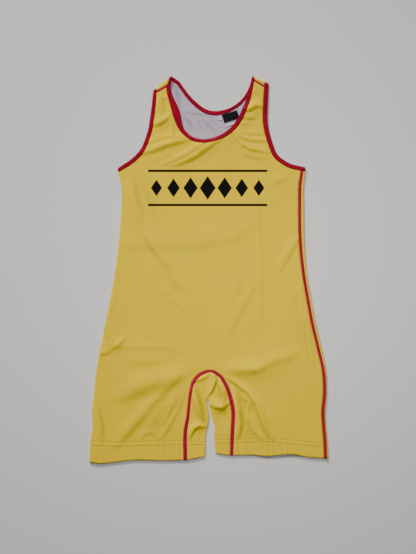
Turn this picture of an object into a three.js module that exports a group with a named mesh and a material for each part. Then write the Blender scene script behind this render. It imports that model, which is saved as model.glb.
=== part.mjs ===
// A wrestling singlet laid flat on its back: a front and a back panel that lie on each other, a bound neck
// and armholes, flatlock seams, and leg openings between the two layers. Sizes are in millimetres. +Z is up
// off the surface, +Y runs to the shoulders, and left and right are as seen from above.
import * as THREE from "three";

// Cloth and trims
const CLOTH = 1.0; // wall of a panel
const LAYER_GAP = 1.1; // air between the two layers where they lie closest
const SEAM_GAP = 0.3; // between neighbouring pieces
const EDGE_INSET = 1.8; // from a folded edge's outline to where its roll begins
const BINDING = { proud: 0.8, corner: 0.45 };
const SEAM = { proud: 0.5, corner: 0.8 };
const SIDE_SEAM_WIDTH = 6;
const SHOULDER_SEAM_WIDTH = 4;
const SHOULDER_INSETS = {
  // shoulder fold to the seam's middle, at its neck end and at its arm end
  left: { neck: 9, arm: 4.5 },
  right: { neck: 3.5, arm: 8 },
};
const UNDER_FLAP = 6; // how far the front rolls under the left edge
const LABEL = { x: 47.5, y: 337.5, width: 35, height: 19, turn: 18, thick: 1, floor: 2.6 };
const CARE_LABEL = { x: 45.5, y: 332, width: 27, height: 26, turn: 18, thick: 1, floor: 1.3 };
const SIZE_TAB = { x: 23, y: 335, width: 9, height: 9, turn: 6, thick: 1, floor: 1.3 };

// Loft of the upper layer
const EDGE_LOFT = 0.6;
const EDGE_LOFT_REACH = 18;
const NECK_LOFT = 1.9;
const NECK_LOFT_REACH = 35;

// Mesh spacing
const ROLL_STEPS = 4; // facets round a folded edge
const TRIM_STEP = 10; // along the bindings
const SEAM_STEP = 14; // down the sides
const HEM_STEP = 11; // along the leg hems
const COARSE = 23;
const CANDIDATE_STEP = 4;
const FINE_ZONES = [
  { name: "crotch", x0: -170, x1: 170, y0: -440, y1: -205, spacing: 12.5 },
  { name: "straps", x0: -160, x1: 160, y0: 225, y1: 430, spacing: 12.5 },
];

// Outline of the two side edges, a row for each section across the body
const SIDE_ROWS = [
  { y: -430, left: -263, right: 262 },
  { y: -373, left: -260, right: 260 },
  { y: -340, left: -255.5, right: 257 },
  { y: -310, left: -257.5, right: 255.5 },
  { y: -270, left: -252.5, right: 259 },
  { y: -224, left: -248, right: 257.5 },
  { y: -171, left: -239, right: 248 },
  { y: -118, left: -228, right: 235.5 },
  { y: -65, left: -217.5, right: 225 },
  { y: -13, left: -208, right: 216 },
  { y: 40, left: -200.5, right: 211 },
  { y: 93, left: -195.5, right: 209 },
  { y: 146, left: -192.5, right: 208.5 },
  { y: 185, left: -193, right: 208.5 },
  { y: 216, left: -199.5, right: 212 },
];

// Right side seam: from the edge to the seam's middle
const SIDE_SEAM_ROWS = [
  { y: -430, inset: 5.8 },
  { y: -224, inset: 5.8 },
  { y: -171, inset: 8 },
  { y: -13, inset: 7.5 },
  { y: 93, inset: 9.5 },
  { y: 216, inset: 8 },
];

// The slit between the legs, a row for each section
const LEG_SLIT_ROWS = [
  { y: -415, left: -10, right: 14 },
  { y: -390, left: -7.5, right: 12.5 },
  { y: -367, left: -7.5, right: 11 },
  { y: -344, left: -4, right: 12 },
  { y: -328, left: -0.2, right: 7.2 },
  { y: -309, left: -0.8, right: 2.6 },
  { y: -296, left: -3.8, right: 0.2 },
  { y: -286, left: -5, right: -0.8 },
];
const SLIT_TOP_STEPS = 6;

// Leg hems: where the front and the back end
const LEFT_HEM_ROWS = [
  { x: -266, front: -421, back: -420 },
  { x: -236, front: -425, back: -424 },
  { x: -210, front: -422, back: -421 },
  { x: -165, front: -417, back: -416 },
  { x: -108, front: -418, back: -417 },
  { x: -50, front: -417, back: -416 },
  { x: -28, front: -415.5, back: -415 },
  { x: -8, front: -408, back: -408 },
];
const RIGHT_HEM_ROWS = [
  { x: 11, front: -400.5, back: -400.5 },
  { x: 32, front: -406, back: -405 },
  { x: 68, front: -406.5, back: -406 },
  { x: 99, front: -406, back: -408 },
  { x: 126, front: -409, back: -413 },
  { x: 152, front: -406.5, back: -411.5 },
  { x: 180, front: -404.5, back: -409 },
  { x: 220, front: -411, back: -411 },
  { x: 266, front: -414, back: -414 },
];

// Middle lines of the bindings and of the inseam, and how wide each looks there. The front neckline rolls
// open on its left.
const FRONT_NECK_ROWS = [
  { x: -84.5, y: 422.5, width: 9 },
  { x: -89, y: 401, width: 9 },
  { x: -85, y: 382, width: 10.5 },
  { x: -78, y: 363.5, width: 14 },
  { x: -72.5, y: 347, width: 16.5 },
  { x: -68, y: 330, width: 14 },
  { x: -62, y: 313, width: 10.5 },
  { x: -51.5, y: 299.5, width: 9 },
  { x: -36.5, y: 288.5, width: 8 },
  { x: -13, y: 284, width: 7.5 },
  { x: 9, y: 287, width: 7.5 },
  { x: 28.5, y: 294.5, width: 8.5 },
  { x: 45, y: 305, width: 9.5 },
  { x: 59.5, y: 320, width: 10 },
  { x: 71, y: 338, width: 10 },
  { x: 80, y: 358.5, width: 9.5 },
  { x: 88, y: 381, width: 8.5 },
  { x: 97, y: 422.3, width: 6.5 },
];
const BACK_NECK_ROWS = [
  { x: 97, y: 422.3, width: 6.5 },
  { x: 92.5, y: 405.5, width: 6.5 },
  { x: 83, y: 385.5, width: 6.5 },
  { x: 67.5, y: 367, width: 7 },
  { x: 47.5, y: 354, width: 7.5 },
  { x: 28.5, y: 347.5, width: 8.5 },
  { x: 13.5, y: 345.5, width: 9 },
  { x: -9, y: 350.5, width: 9 },
  { x: -30.5, y: 366, width: 9 },
  { x: -45.5, y: 381.5, width: 8.5 },
  { x: -57.5, y: 397, width: 8 },
  { x: -69, y: 413, width: 8 },
  { x: -84.5, y: 422.5, width: 9 },
];
const LEFT_ARMHOLE_ROWS = [
  { x: -198.5, y: 221, width: 9 },
  { x: -171, y: 238.5, width: 9 },
  { x: -156, y: 252, width: 9 },
  { x: -145, y: 266, width: 9 },
  { x: -130, y: 306, width: 9 },
  { x: -125, y: 335, width: 9 },
  { x: -121, y: 368, width: 8.5 },
  { x: -119, y: 395.5, width: 8.5 },
];
const RIGHT_ARMHOLE_ROWS = [
  { x: 126.5, y: 410.5, width: 9.5 },
  { x: 124.5, y: 370, width: 10 },
  { x: 124, y: 323, width: 10 },
  { x: 133, y: 284, width: 10 },
  { x: 147, y: 251, width: 10 },
  { x: 161, y: 239, width: 10 },
  { x: 178, y: 229.5, width: 9.5 },
  { x: 209.5, y: 222, width: 9 },
];
const BACK_ARMHOLE_SHIFT = 8; // how much deeper the back armholes are cut, halfway up
const INSEAM_ROWS = [
  { x: -52, y: -416, width: 8 },
  { x: -52, y: -358, width: 7.5 },
  { x: -46, y: -320, width: 6.5 },
  { x: -44, y: -298, width: 6 },
  { x: -40, y: -268, width: 6 },
  { x: -35, y: -248, width: 6.5 },
  { x: -19, y: -228.5, width: 6.5 },
  { x: 6, y: -217, width: 5 },
  { x: 21.5, y: -228.5, width: 6.5 },
  { x: 37, y: -252, width: 7 },
  { x: 47, y: -279, width: 8 },
  { x: 53, y: -310, width: 8 },
  { x: 52, y: -350, width: 7.5 },
  { x: 49.5, y: -405, width: 7 },
];
const INSEAM_TOP = 7; // which of those rows is the crotch point

// Largest folds of the upper layer: ridge line, how far it bows to its left, half width and height
const FOLD_ROWS = [
  { name: "left strap buckle", x0: -116, y0: 322, x1: -84, y1: 344, bow: -4, width: 11, height: 3 },
  { name: "left chest upper", x0: -134, y0: 262, x1: -40, y1: 281, bow: 5, width: 14, height: 2.4 },
  { name: "left chest lower", x0: -95, y0: 238, x1: 12, y1: 279, bow: -4, width: 15, height: 2.6 },
  { name: "right strap buckle", x0: 80, y0: 346, x1: 118, y1: 356, bow: 3, width: 10, height: 2.6 },
  { name: "right chest drag", x0: 62, y0: 300, x1: 118, y1: 262, bow: -8, width: 13, height: 2.2 },
  { name: "left hip pucker", x0: -232, y0: -176, x1: -190, y1: -158, bow: 3, width: 10, height: 2.6 },
  { name: "left lap", x0: -190, y0: -262, x1: -58, y1: -234, bow: 8, width: 30, height: 3 },
  { name: "right lap", x0: 40, y0: -226, x1: 190, y1: -190, bow: -6, width: 26, height: 3 },
  { name: "left thigh drag", x0: -66, y0: -262, x1: -142, y1: -356, bow: -8, width: 17, height: 3.4 },
  { name: "right thigh outer", x0: 60, y0: -256, x1: 126, y1: -372, bow: 14, width: 13, height: 5 },
  { name: "right thigh inner", x0: 58, y0: -292, x1: 84, y1: -362, bow: 7, width: 10, height: 4 },
  { name: "left inner leg", x0: -33, y0: -258, x1: -14, y1: -330, bow: -3, width: 9, height: 4.4 },
  { name: "left inner leg bunch", x0: -31, y0: -352, x1: -12, y1: -340, bow: 4, width: 9, height: 3.6 },
  { name: "right inner leg", x0: 8, y0: -296, x1: 40, y1: -302, bow: -5, width: 10, height: 4.6 },
  { name: "right inner leg upper", x0: 22, y0: -246, x1: 31, y1: -288, bow: 2, width: 8, height: 3.6 },
];

const UP = new THREE.Vector3(0, 0, 1);
const DOWN = new THREE.Vector3(0, 0, -1);

// Tables and lines

// A smooth function of one column of a table by another, which rises down the table.
function column(rows, by, name) {
  const curve = new THREE.CubicInterpolant(rows.map((r) => r[by]), rows.map((r) => r[name]), 1);
  return (at) => curve.evaluate(at)[0];
}

const leftEdge = column(SIDE_ROWS, "y", "left");
const rightEdge = column(SIDE_ROWS, "y", "right");
const sideSeamInset = column(SIDE_SEAM_ROWS, "y", "inset");
const HEMS = {
  left: { front: column(LEFT_HEM_ROWS, "x", "front"), back: column(LEFT_HEM_ROWS, "x", "back") },
  right: { front: column(RIGHT_HEM_ROWS, "x", "front"), back: column(RIGHT_HEM_ROWS, "x", "back") },
};

// Evenly spaced points, in plan, along a smooth line through a table's rows, and the width at each.
function lineThrough(rows, spacing) {
  const places = rows.map((r) => new THREE.Vector3(r.x, r.y, r.width ?? 0));
  const curve = new THREE.CatmullRomCurve3(places, false, "centripetal");
  const spaced = curve.getSpacedPoints(spacing.count ?? Math.round(curve.getLength() / spacing.step));
  return { line: spaced.map((p) => new THREE.Vector3(p.x, p.y, 0)), widths: spaced.map((p) => p.z) };
}

// Lines put end to end, without the points that they share.
function joined(...lines) {
  return lines.flatMap((line, i) => (i === 0 ? line : line.slice(1)));
}

function tangentsOf(points) {
  return points.map((_, i) => {
    const before = points[Math.max(0, i - 1)];
    const after = points[Math.min(points.length - 1, i + 1)];
    return after.clone().sub(before).normalize();
  });
}

// Each point moved across its line by its own distance, to the left of its direction in plan.
function offsetLine(points, distances) {
  return sidesOf(points, 1).map((side, i) => points[i].clone().addScaledVector(side, distances[i]));
}

// Where a line crosses a side line x = edge(y), and what is left of it before that place.
function lineBefore(line, edge) {
  const beyond = (p) => p.x - edge(p.y);
  for (let i = line.length - 1; i > 0; i--) {
    const inside = beyond(line[i - 1]);
    const outside = beyond(line[i]);
    if (Math.sign(inside) !== Math.sign(outside)) {
      const end = line[i - 1].clone().lerp(line[i], inside / (inside - outside));
      const kept = line.slice(0, i);
      if (kept[kept.length - 1].distanceTo(end) < 1.5 && kept.length > 2) kept.pop();
      return [...kept, end];
    }
  }
  throw new Error("a line never crosses the seam that it should meet");
}

// Height of the upper layer

const neckLine = lineThrough(FRONT_NECK_ROWS, { step: 8 }).line;

function fadeOut(share) {
  return share >= 1 ? 0 : (1 - share * share) ** 2;
}

function foldHeight(x, y, fold) {
  const dx = fold.x1 - fold.x0;
  const dy = fold.y1 - fold.y0;
  const length = Math.hypot(dx, dy);
  const along = ((x - fold.x0) * dx + (y - fold.y0) * dy) / (length * length);
  const across = ((y - fold.y0) * dx - (x - fold.x0) * dy) / length;
  const s = THREE.MathUtils.clamp(along, 0, 1);
  const away = Math.hypot(across - fold.bow * 4 * s * (1 - s), (along - s) * length) / fold.width;
  const taper = 0.25 + 0.75 * Math.sin(Math.PI * s);
  return fold.height * taper * Math.exp(-1.4 * away * away);
}

// Middle of the upper wall above the surface.
function upperZ(x, y) {
  const fromEdge = Math.max(0, Math.min(x - leftEdge(y), rightEdge(y) - x) - EDGE_INSET);
  const fromNeck = y < 230 ? Infinity : Math.min(...neckLine.map((p) => Math.hypot(p.x - x, p.y - y)));
  const edgeLoft = EDGE_LOFT * fadeOut(fromEdge / EDGE_LOFT_REACH);
  const loft = edgeLoft + NECK_LOFT * fadeOut(fromNeck / NECK_LOFT_REACH);
  const folds = FOLD_ROWS.reduce((sum, fold) => sum + foldHeight(x, y, fold), 0);
  return 1.5 * CLOTH + LAYER_GAP + loft + folds;
}

function upperNormal(x, y) {
  const d = 0.5;
  const slopeX = (upperZ(x + d, y) - upperZ(x - d, y)) / (2 * d);
  const slopeY = (upperZ(x, y + d) - upperZ(x, y - d)) / (2 * d);
  return new THREE.Vector3(-slopeX, -slopeY, 1).normalize();
}

const LOWER_Z = CLOTH / 2;

// A sheet of cloth: middle points with the outward direction at each, given its thickness at the end

class Cloth {
  constructor() {
    this.points = [];
    this.normals = [];
    this.triangles = [];
    this.known = new Map();
  }

  add(point, normal) {
    const key = point.toArray().map((v) => Math.round(v * 1e4)).join();
    if (!this.known.has(key)) {
      this.known.set(key, this.points.length);
      this.points.push(point);
      this.normals.push(normal);
    }
    return this.known.get(key);
  }

  upper(p) {
    return this.add(new THREE.Vector3(p.x, p.y, upperZ(p.x, p.y)), upperNormal(p.x, p.y));
  }

  lower(p) {
    return this.add(new THREE.Vector3(p.x, p.y, LOWER_Z), DOWN);
  }

  // A triangle turned so that it faces the way its corners' outward directions do.
  triangle(a, b, c) {
    const face = new THREE.Vector3().subVectors(this.points[b], this.points[a]);
    face.cross(new THREE.Vector3().subVectors(this.points[c], this.points[a]));
    const outward = this.normals[a].clone().add(this.normals[b]).add(this.normals[c]);
    this.triangles.push(face.dot(outward) < 0 ? [a, c, b] : [a, b, c]);
  }

  // Rows of equally many points, joined by triangles.
  strip(rows) {
    for (let j = 1; j < rows.length; j++) {
      for (let i = 1; i < rows[j].length; i++) {
        const [a, b, c, d] = [rows[j - 1][i - 1], rows[j - 1][i], rows[j][i], rows[j][i - 1]];
        this.triangle(a, b, c);
        this.triangle(a, c, d);
      }
    }
  }

  // The roll from the upper to the lower layer along an edge, bulging towards each point's side.
  roll(line, outwards) {
    const rows = [line.map((p) => this.upper(p))];
    for (let j = 1; j < ROLL_STEPS; j++) {
      const turn = Math.PI / 2 - (Math.PI * j) / ROLL_STEPS;
      rows.push(line.map((p, i) => {
        const frame = rollFrame(p, outwards[i], turn);
        return this.add(frame.point, frame.normal);
      }));
    }
    rows.push(line.map((p) => this.lower(p)));
    this.strip(rows);
  }

  // A flat-cut layer: its outline, meshed and lifted.
  layer(outline, spacing, lift) {
    const plan = meshInside(outline, spacing);
    const ids = plan.points.map((p) => lift(p));
    plan.triangles.forEach(([a, b, c]) => this.triangle(ids[a], ids[b], ids[c]));
  }

  // The closed wall: both faces, and the cut edges between them.
  geometry() {
    const count = this.points.length;
    const shiftedPoint = (side) => (p, i) => p.clone().addScaledVector(this.normals[i], side).toArray();
    const shifted = (side) => this.points.flatMap(shiftedPoint(side));
    const index = [];
    const open = new Map();
    for (const [a, b, c] of this.triangles) {
      index.push(a, b, c, a + count, c + count, b + count);
      for (const [from, to] of [[a, b], [b, c], [c, a]]) {
        if (!open.delete(to + "," + from)) open.set(from + "," + to, [from, to]);
      }
    }
    for (const [from, to] of open.values()) {
      index.push(from, from + count, to + count, from, to + count, to);
    }
    return meshData([...shifted(CLOTH / 2), ...shifted(-CLOTH / 2)], index);
  }
}

function meshData(positions, index) {
  const geometry = new THREE.BufferGeometry();
  geometry.setAttribute("position", new THREE.Float32BufferAttribute(positions, 3));
  geometry.setIndex(index);
  geometry.computeVertexNormals();
  return geometry;
}

// A point on the roll round an edge, by its angle above the horizontal.
function rollFrame(p, outwards, turn) {
  const top = upperZ(p.x, p.y);
  const radius = (top - LOWER_Z) / 2;
  const normal = outwards.clone().multiplyScalar(Math.cos(turn)).addScaledVector(UP, Math.sin(turn));
  const point = new THREE.Vector3(p.x, p.y, (top + LOWER_Z) / 2).addScaledVector(normal, radius);
  return { point, normal };
}

// Outward directions of an edge line, to the left or right of its direction.
function sidesOf(line, sign) {
  return tangentsOf(line).map((t) => new THREE.Vector3(-t.y * sign, t.x * sign, 0));
}

// Meshing of a flat outline: spaced points inside it and Delaunay triangles

function isInside(outline, x, y) {
  let inside = false;
  for (let i = 0, j = outline.length - 1; i < outline.length; j = i++) {
    const [a, b] = [outline[i], outline[j]];
    if (a.y > y !== b.y > y && x < ((b.x - a.x) * (y - a.y)) / (b.y - a.y) + a.x) inside = !inside;
  }
  return inside;
}

function meshInside(outline, spacing) {
  const box = new THREE.Box3().setFromPoints(outline);
  const points = outline.map((p) => new THREE.Vector3(p.x, p.y, 0));
  const gaps = outline.map((p, i) => p.distanceTo(outline[(i + 1) % outline.length]));
  let row = 0;
  for (let y = box.min.y; y < box.max.y; y += CANDIDATE_STEP, row++) {
    for (let x = box.min.x + (row % 2) * 2; x < box.max.x; x += CANDIDATE_STEP) {
      if (!isInside(outline, x, y)) continue;
      let room = Infinity;
      outline.forEach((p, i) => {
        room = Math.min(room, Math.hypot(p.x - x, p.y - y) * 0.75 + gaps[i] * 0.4);
      });
      const wanted = Math.min(spacing(x, y), Math.max(room, 5)) * 0.88;
      const free = points.every((p) => Math.hypot(p.x - x, p.y - y) > wanted);
      if (free) points.push(new THREE.Vector3(x, y, 0));
    }
  }
  let triangles = delaunay(points, outline);
  relax(points, triangles, outline.length);
  triangles = delaunay(points, outline);
  return { points, triangles };
}

// Each inner point moves to the middle of its neighbours.
function relax(points, triangles, fixed) {
  const near = points.map(() => new Set());
  triangles.forEach(([a, b, c]) => {
    near[a].add(b).add(c);
    near[b].add(a).add(c);
    near[c].add(a).add(b);
  });
  for (let pass = 0; pass < 3; pass++) {
    for (let i = fixed; i < points.length; i++) {
      const middle = new THREE.Vector3();
      near[i].forEach((n) => middle.add(points[n]));
      points[i].copy(middle.divideScalar(near[i].size));
    }
  }
}

// Bowyer and Watson's method, keeping the triangles inside the outline.
function delaunay(points, outline) {
  const far = 1e4;
  const corners = [[-far, -far], [far, -far], [0, far]].map(([x, y]) => new THREE.Vector3(x, y, 0));
  const all = [...points, ...corners];
  const n = points.length;
  const circle = (a, b, c) => {
    const [p, q, r] = [all[a], all[b], all[c]];
    const d = 2 * (p.x * (q.y - r.y) + q.x * (r.y - p.y) + r.x * (p.y - q.y));
    const [pp, qq, rr] = [p.lengthSq(), q.lengthSq(), r.lengthSq()];
    const x = (pp * (q.y - r.y) + qq * (r.y - p.y) + rr * (p.y - q.y)) / d;
    const y = (pp * (r.x - q.x) + qq * (p.x - r.x) + rr * (q.x - p.x)) / d;
    return { a, b, c, x, y, rr: (p.x - x) ** 2 + (p.y - y) ** 2 };
  };
  let open = [circle(n, n + 1, n + 2)];
  for (let i = 0; i < n; i++) {
    const edges = new Map();
    const kept = [];
    for (const t of open) {
      if ((all[i].x - t.x) ** 2 + (all[i].y - t.y) ** 2 >= t.rr * (1 - 1e-10)) {
        kept.push(t);
        continue;
      }
      for (const [a, b] of [[t.a, t.b], [t.b, t.c], [t.c, t.a]]) {
        if (!edges.delete(b + "," + a)) edges.set(a + "," + b, [a, b]);
      }
    }
    edges.forEach(([a, b]) => kept.push(circle(a, b, i)));
    open = kept;
  }
  const found = open.filter((t) => Math.max(t.a, t.b, t.c) < n).map((t) => [t.a, t.b, t.c]);
  const inner = found.filter(([a, b, c]) => {
    return isInside(outline, (all[a].x + all[b].x + all[c].x) / 3, (all[a].y + all[b].y + all[c].y) / 3);
  });
  const bothWays = (a, b) => [a + "," + b, b + "," + a];
  const edgesOf = ([a, b, c]) => [...bothWays(a, b), ...bothWays(b, c), ...bothWays(c, a)];
  const used = new Set(inner.flatMap(edgesOf));
  outline.forEach((p, i) => {
    if (!used.has(i + "," + ((i + 1) % outline.length))) {
      throw new Error("the outline is cut near " + p.x.toFixed(0) + ", " + p.y.toFixed(0));
    }
  });
  return inner;
}

function fineSpacing(x, y) {
  const zone = FINE_ZONES.find((z) => x > z.x0 && x < z.x1 && y > z.y0 && y < z.y1);
  return zone ? zone.spacing : COARSE;
}

// Trims: a profile swept along frames. A frame has a point in the middle of the wall, the direction out to
// the trim's free edge, the cloth's outward direction, and the width there.

function bindingProfile(trim, width, proudInside) {
  const low = -CLOTH / 2 - (proudInside ? trim.proud : 0);
  const high = CLOTH / 2 + (proudInside ? 0 : trim.proud);
  const half = width / 2;
  const c = trim.corner;
  return [
    [-half, low], [half - c, low], [half, low + c],
    [half, high - c], [half - c, high], [-half + c, high], [-half, high - c],
  ];
}

function seamProfile(trim, width, proudInside) {
  const half = width / 2;
  const wall = CLOTH / 2;
  const c = trim.corner;
  const proud = wall + trim.proud;
  const bottom = [[-half, -wall], [half, -wall]];
  const top = [[half, wall], [-half, wall]];
  if (proudInside) return [bottom[0], [-half + c, -proud], [half - c, -proud], bottom[1], ...top];
  return [...bottom, top[0], [half - c, proud], [-half + c, proud], top[1]];
}

// A point of the upper or lower layer with its outward direction.
function onLayer(p, isUpper) {
  if (!isUpper) return { point: new THREE.Vector3(p.x, p.y, LOWER_Z), normal: DOWN };
  return { point: new THREE.Vector3(p.x, p.y, upperZ(p.x, p.y)), normal: upperNormal(p.x, p.y) };
}

// Frames along a bound edge of one layer. The free edge lies away from the panel's cut edge.
function layerFrames(edge, isUpper) {
  return edge.line.map((p, i) => {
    const { point, normal } = onLayer(p, isUpper);
    const out = p.clone().sub(edge.panel[i]);
    out.addScaledVector(normal, -out.dot(normal)).normalize();
    return { point, normal, out, width: edge.widths[i], inside: !isUpper };
  });
}

// Frames round a roll, from the upper to the lower layer.
function rollFrames(p, outwards, out, width) {
  return Array.from({ length: ROLL_STEPS - 1 }, (_, j) => {
    const turn = Math.PI / 2 - (Math.PI * (j + 1)) / ROLL_STEPS;
    const { point, normal } = rollFrame(p, outwards, turn);
    return { point, normal, out, width, inside: turn <= 0 };
  });
}

function sweep(frames, profile, trim, isClosed) {
  const sections = frames.map((f) => {
    return profile(trim, f.width, f.inside).map(([a, b]) => {
      return f.point.clone().addScaledVector(f.out, a).addScaledVector(f.normal, b).toArray();
    });
  });
  const ahead = frames[1].point.clone().sub(frames[0].point);
  if (new THREE.Vector3().crossVectors(frames[0].out, frames[0].normal).dot(ahead) < 0) sections.reverse();
  const n = sections[0].length;
  const index = [];
  const last = isClosed ? sections.length : sections.length - 1;
  for (let i = 0; i < last; i++) {
    const [a, b] = [i * n, ((i + 1) % sections.length) * n];
    for (let j = 0; j < n; j++) {
      const k = (j + 1) % n;
      index.push(a + j, a + k, b + k, a + j, b + k, b + j);
    }
  }
  if (!isClosed) {
    const end = (sections.length - 1) * n;
    for (let j = 1; j < n - 1; j++) index.push(0, j + 1, j, end, end + j, end + j + 1);
  }
  return meshData(sections.flat(2), index);
}

// A bound edge on one layer: its middle line, its widths, and the cut edge of the panel beside it. At each
// end the binding turns square to the fold that it crosses.
const END_TURN = 24;

function boundEdge({ line, widths }, side, ends) {
  const lengths = [0];
  line.forEach((p, i) => i > 0 && lengths.push(lengths[i - 1] + p.distanceTo(line[i - 1])));
  const total = lengths[line.length - 1];
  const outs = sidesOf(line, side).map((out, i) => {
    const first = fadeOut(lengths[i] / END_TURN);
    const last = fadeOut((total - lengths[i]) / END_TURN);
    return out.clone().lerp(ends[0], first).lerp(ends[1], last).normalize();
  });
  const panel = line.map((p, i) => p.clone().addScaledVector(outs[i], -widths[i] / 2 - SEAM_GAP));
  return { line, widths, panel };
}

// Folds that the bindings cross: each has the way its roll bulges, and the way along it out to the free edge

function foldBetween(neckEnd, armEnd) {
  const along = new THREE.Vector3(armEnd.x - neckEnd.x, armEnd.y - neckEnd.y, 0).normalize();
  const bulge = new THREE.Vector3(-along.y, along.x, 0).multiplyScalar(along.x > 0 ? 1 : -1);
  return { toArm: along, toNeck: along.clone().negate(), bulge };
}

const leftShoulder = foldBetween(FRONT_NECK_ROWS[0], LEFT_ARMHOLE_ROWS[LEFT_ARMHOLE_ROWS.length - 1]);
const rightShoulder = foldBetween(FRONT_NECK_ROWS[FRONT_NECK_ROWS.length - 1], RIGHT_ARMHOLE_ROWS[0]);
const underarm = {
  left: { bulge: new THREE.Vector3(-1, 0, 0), out: new THREE.Vector3(0, 1, 0) },
  right: { bulge: new THREE.Vector3(1, 0, 0), out: new THREE.Vector3(0, 1, 0) },
};

const trimStep = { step: TRIM_STEP };
const frontNeckLine = lineThrough(FRONT_NECK_ROWS, trimStep);
const frontNeck = boundEdge(frontNeckLine, 1, [leftShoulder.toNeck, rightShoulder.toNeck]);
const backNeckLine = lineThrough(BACK_NECK_ROWS, trimStep);
const backNeck = boundEdge(backNeckLine, -1, [rightShoulder.toNeck, leftShoulder.toNeck]);
const leftArmLine = lineThrough(LEFT_ARMHOLE_ROWS, trimStep);
const frontArmLeft = boundEdge(leftArmLine, 1, [underarm.left.out, leftShoulder.toArm]);
const frontArmRight = boundEdge(
  lineThrough(RIGHT_ARMHOLE_ROWS, trimStep), 1, [rightShoulder.toArm, underarm.right.out]);

// The back armholes run the other way and are cut a little deeper between their ends.
function backArmhole(front, ends) {
  const count = front.line.length - 1;
  const inward = front.line.map((_, i) => -BACK_ARMHOLE_SHIFT * Math.sin((Math.PI * i) / count) ** 2);
  const line = offsetLine(front.line, inward).reverse();
  return boundEdge({ line, widths: [...front.widths].reverse() }, -1, ends);
}
const backArmLeft = backArmhole(frontArmLeft, [leftShoulder.toArm, underarm.left.out]);
const backArmRight = backArmhole(frontArmRight, [underarm.right.out, rightShoulder.toArm]);

// Lines down the sides, from the armhole to the hem. The fold lines are where the rolls begin.

function sideLine(edge, top, hemAt, count) {
  const bottom = hemCrossing(edge, hemAt);
  return Array.from({ length: count + 1 }, (_, i) => {
    const y = THREE.MathUtils.lerp(top.y, bottom.y, i / count);
    const x = i === 0 ? top.x : edge(y);
    return new THREE.Vector3(x, y, 0);
  });
}

function hemCrossing(edge, hemAt) {
  let y = -410;
  for (let i = 0; i < 20; i++) y = hemAt(edge(y));
  return new THREE.Vector3(edge(y), y, 0);
}

const lastOf = (line) => line[line.length - 1];
const sideCount = Math.round(635 / SEAM_STEP);
const halfSide = SIDE_SEAM_WIDTH / 2 + SEAM_GAP;

const leftFoldEdge = (y) => leftEdge(y) + EDGE_INSET;
const rightFoldEdge = (y) => rightEdge(y) - EDGE_INSET;
const leftSeamMiddle = (y) => leftFoldEdge(y) + UNDER_FLAP + halfSide;
const rightSeamMiddle = (y) => rightEdge(y) - sideSeamInset(y);
const shifted = (edge, by) => (y) => edge(y) + by;

// The panel edges at the underarms, from the shoulder to where each seam starts.
const frontArmRightToSeam = lineBefore(frontArmRight.panel, shifted(rightSeamMiddle, -halfSide));
const seamTopRightInner = lastOf(frontArmRightToSeam);
const seamTopRightOuter = lastOf(lineBefore(frontArmRight.panel, shifted(rightSeamMiddle, halfSide)));
const backArmLeftToSeam = lineBefore(backArmLeft.panel, shifted(leftSeamMiddle, halfSide));
const seamTopLeftInner = lastOf(backArmLeftToSeam);
const seamTopLeftOuter = lastOf(lineBefore(backArmLeft.panel, shifted(leftSeamMiddle, -halfSide)));

const leftFold = sideLine(leftFoldEdge, frontArmLeft.panel[0], HEMS.left.front, sideCount);
const rightFold = sideLine(rightFoldEdge, lastOf(frontArmRight.panel), HEMS.right.front, sideCount);
const leftHemEnd = HEMS.left.back;
const rightHemEnd = HEMS.right.front;
const leftSeamLine = (shift, top) => sideLine(shifted(leftSeamMiddle, shift), top, leftHemEnd, sideCount);
const rightSeamLine = (shift, top) => sideLine(shifted(rightSeamMiddle, shift), top, rightHemEnd, sideCount);
const leftFlapEdge = leftSeamLine(-halfSide, seamTopLeftOuter);
const leftBackEdge = leftSeamLine(halfSide, seamTopLeftInner);
const rightFlapEdge = rightSeamLine(halfSide, seamTopRightOuter);
const rightFrontEdge = rightSeamLine(-halfSide, seamTopRightInner);

// Inner legs: the fold round the slit, and the inseam over it, each from the left hem to the right hem

const INNER_LEG_COLUMNS = 22;

function slitFold() {
  const left = LEG_SLIT_ROWS.map((r) => ({ x: r.left - EDGE_INSET, y: r.y }));
  const right = LEG_SLIT_ROWS.map((r) => ({ x: r.right + EDGE_INSET, y: r.y })).reverse();
  left[0].y = HEMS.left.front(left[0].x);
  lastOf(right).y = HEMS.right.front(lastOf(right).x);
  const [from, to] = [lastOf(left), right[0]];
  const radius = (to.x - from.x) / 2;
  const top = Array.from({ length: SLIT_TOP_STEPS - 1 }, (_, i) => {
    const turn = Math.PI - (Math.PI * (i + 1)) / SLIT_TOP_STEPS;
    return new THREE.Vector3(from.x + radius + radius * Math.cos(turn), from.y + radius * Math.sin(turn), 0);
  });
  const columns = INNER_LEG_COLUMNS - SLIT_TOP_STEPS / 2;
  const [leftLine, rightLine] = [left, right].map((rows) => lineThrough(rows, { count: columns }).line);
  return [...leftLine, ...top, ...rightLine];
}

function inseamLine() {
  const left = lineThrough(INSEAM_ROWS.slice(0, INSEAM_TOP + 1), { count: INNER_LEG_COLUMNS });
  const right = lineThrough(INSEAM_ROWS.slice(INSEAM_TOP), { count: INNER_LEG_COLUMNS });
  const line = joined(left.line, right.line);
  // The crotch point is rounded off so that the band turns evenly there.
  const middle = INNER_LEG_COLUMNS;
  for (let pass = 0; pass < 3; pass++) {
    for (let i = middle - 2; i <= middle + 2; i++) {
      line[i] = line[i - 1].clone().add(line[i + 1]).multiplyScalar(0.25).addScaledVector(line[i], 0.5);
    }
  }
  return { line, reach: joined(left.widths, right.widths).map((w) => w / 2 + SEAM_GAP) };
}

// A line whose ends are moved onto the hems.
function endedAtHems(line) {
  const ended = line.map((p) => p.clone());
  ended[0].y = HEMS.left.front(ended[0].x);
  lastOf(ended).y = HEMS.right.front(lastOf(ended).x);
  return ended;
}

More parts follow.
